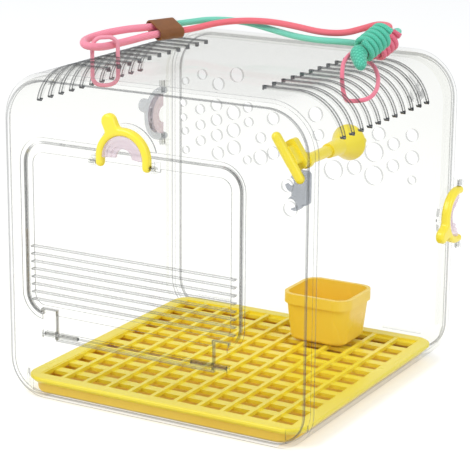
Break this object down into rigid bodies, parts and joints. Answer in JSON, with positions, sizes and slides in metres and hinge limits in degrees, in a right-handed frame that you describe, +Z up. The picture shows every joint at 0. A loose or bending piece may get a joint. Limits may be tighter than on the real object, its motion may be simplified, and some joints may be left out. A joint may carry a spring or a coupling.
{
  "type": "bird travel carrier",
  "caption": "Clear box carrier for a small bird, with a hinged front door, arch latches, vent slots, lift-out floor grate over a tray, food cup, perch and knotted cord handle",
  "frame": {"origin": "On the ground, under the middle of the body's outer box", "axes": "+X to the right seen from the front, +Y from the door to the rear cover, +Z up"},
  "size_m": [0.2474, 0.2363, 0.253],
  "materials": {
    "clear_plastic": "clear polished injection moulding",
    "yellow_plastic": "glossy lemon yellow",
    "cup_plastic": "glossy warm yellow",
    "amber_plastic": "amber, satin",
    "grey_plastic": "light grey, glossy",
    "smoke_plastic": "smoky clear",
    "brown_leather": "smooth brown",
    "pink_cord": "woven pink cord",
    "mint_cord": "woven mint cord"
  },
  "bodies": {
    "body": {"body_shell": "clear_plastic", "door_hinge_pins": "clear_plastic", "front_latch_catch_plate": "clear_plastic", "right_latch_catch_plate": "clear_plastic", "left_latch_catch_plate": "clear_plastic", "leather_sleeve": "brown_leather", "handle_end_loop": "pink_cord", "handle_cord_pink": "pink_cord", "handle_cord_mint": "mint_cord", "mint_knot_wrap": "mint_cord", "mint_knot_core": "mint_cord", "pink_knot_wrap": "pink_cord", "pink_knot_core": "pink_cord", "left_anchor_loop": "pink_cord", "right_anchor_loop": "pink_cord"},
    "door": {"door_panel": "clear_plastic", "front_latch_pins": "clear_plastic"},
    "front_latch": {"front_latch_arch": "yellow_plastic", "front_latch_insert": "clear_plastic"},
    "cover": {"rear_cover": "clear_plastic", "right_latch_pins": "clear_plastic", "left_latch_pins": "clear_plastic", "perch_flange": "yellow_plastic", "perch_nut": "yellow_plastic"},
    "right_latch": {"right_latch_arch": "yellow_plastic", "right_latch_insert": "clear_plastic"},
    "left_latch": {"left_latch_arch": "grey_plastic", "left_latch_insert": "clear_plastic"},
    "perch": {"perch_bar": "yellow_plastic", "perch_stem": "yellow_plastic", "perch_clip": "smoke_plastic"},
    "tray": {"waste_tray": "amber_plastic"},
    "grate": {"floor_grate": "yellow_plastic"},
    "cup": {"food_cup": "cup_plastic"}
  },
  "joints": [
    {"name": "door_hinge", "type": "hinge", "parent": "body", "child": "door", "pos_m": [-0.01425, -0.1095, 0.048], "axis": [1, 0, 0], "range_deg": [0, 100]},
    {"name": "front_latch_hinge", "type": "hinge", "parent": "door", "child": "front_latch", "pos_m": [-0.0168, -0.11575, 0.1727], "axis": [1, 0, 0], "range_deg": [0, 110]},
    {"name": "cover_slide", "type": "slide", "parent": "body", "child": "cover", "axis": [0, 1, 0], "range_m": [0, 0.07]},
    {"name": "right_latch_hinge", "type": "hinge", "parent": "cover", "child": "right_latch", "pos_m": [0.1205, 0.101, 0.1104], "axis": [0, 0, 1], "range_deg": [0, 110]},
    {"name": "left_latch_hinge", "type": "hinge", "parent": "cover", "child": "left_latch", "pos_m": [-0.1205, 0.101, 0.156], "axis": [0, 0, -1], "range_deg": [0, 110]},
    {"name": "perch_swivel", "type": "hinge", "parent": "cover", "child": "perch", "pos_m": [0.032, 0.108, 0.15], "axis": [0, 1, 0], "range_deg": [-60, 60]},
    {"name": "tray_lift", "type": "slide", "parent": "body", "child": "tray", "axis": [0, 0, 1], "range_m": [0, 0.02]},
    {"name": "grate_lift", "type": "slide", "parent": "tray", "child": "grate", "axis": [0, 0, 1], "range_m": [0, 0.02]},
    {"name": "cup_lift", "type": "slide", "parent": "grate", "child": "cup", "axis": [0, 0, 1], "range_m": [0, 0.04]}
  ]
}
